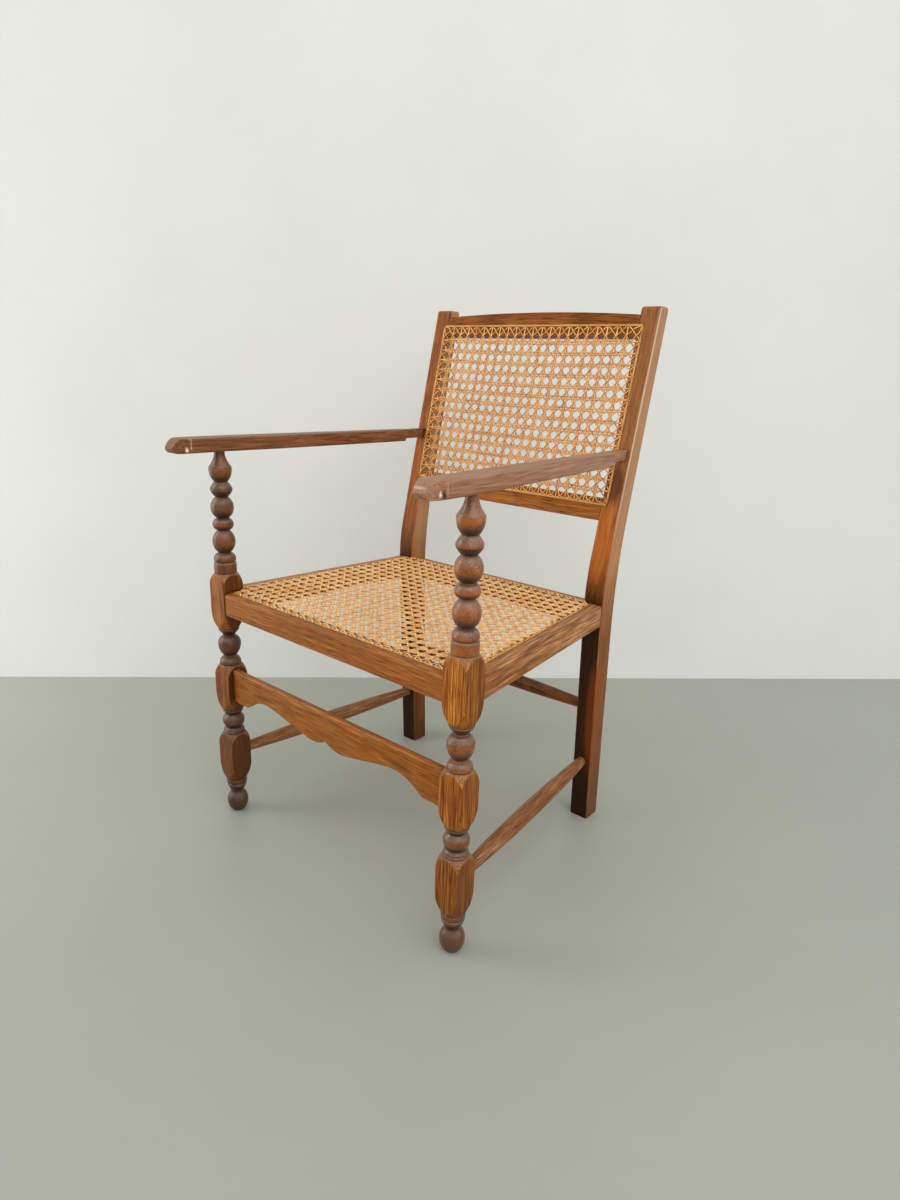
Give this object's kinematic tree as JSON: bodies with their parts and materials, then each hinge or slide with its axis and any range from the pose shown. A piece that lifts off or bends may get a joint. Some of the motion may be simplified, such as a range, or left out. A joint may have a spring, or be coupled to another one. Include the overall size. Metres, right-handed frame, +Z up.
{
  "type": "spool-turned armchair with caned seat and back",
  "caption": "Wooden armchair with spool-turned front posts, raked back posts, flat tapering arms, a shaped front stretcher, and a hand-caned seat and back.",
  "frame": {"origin": "on the floor, under the middle of the chair's box", "axes": "+Z up, the front of the chair faces -Y, +X is the sitter's left side"},
  "size_m": [0.538, 0.586, 0.868],
  "materials": {
    "oak": "satin",
    "cane": "satin",
    "pegs": "matte"
  },
  "bodies": {
    "root": {"front_post_left": "oak", "front_post_right": "oak", "back_post_left": "oak", "back_post_right": "oak", "front_seat_rail": "oak", "back_seat_rail": "oak", "side_seat_rail_left": "oak", "side_seat_rail_right": "oak", "front_stretcher": "oak", "back_stretcher": "oak", "side_stretcher_left": "oak", "side_stretcher_right": "oak", "crest_rail": "oak", "lower_back_rail": "oak", "arm_left": "oak", "arm_right": "oak", "seat_cane": "cane", "seat_binder": "cane", "seat_cane_pegs": "pegs", "back_cane": "cane", "back_binder": "cane", "back_cane_pegs": "pegs"}
  },
  "joints": []
}
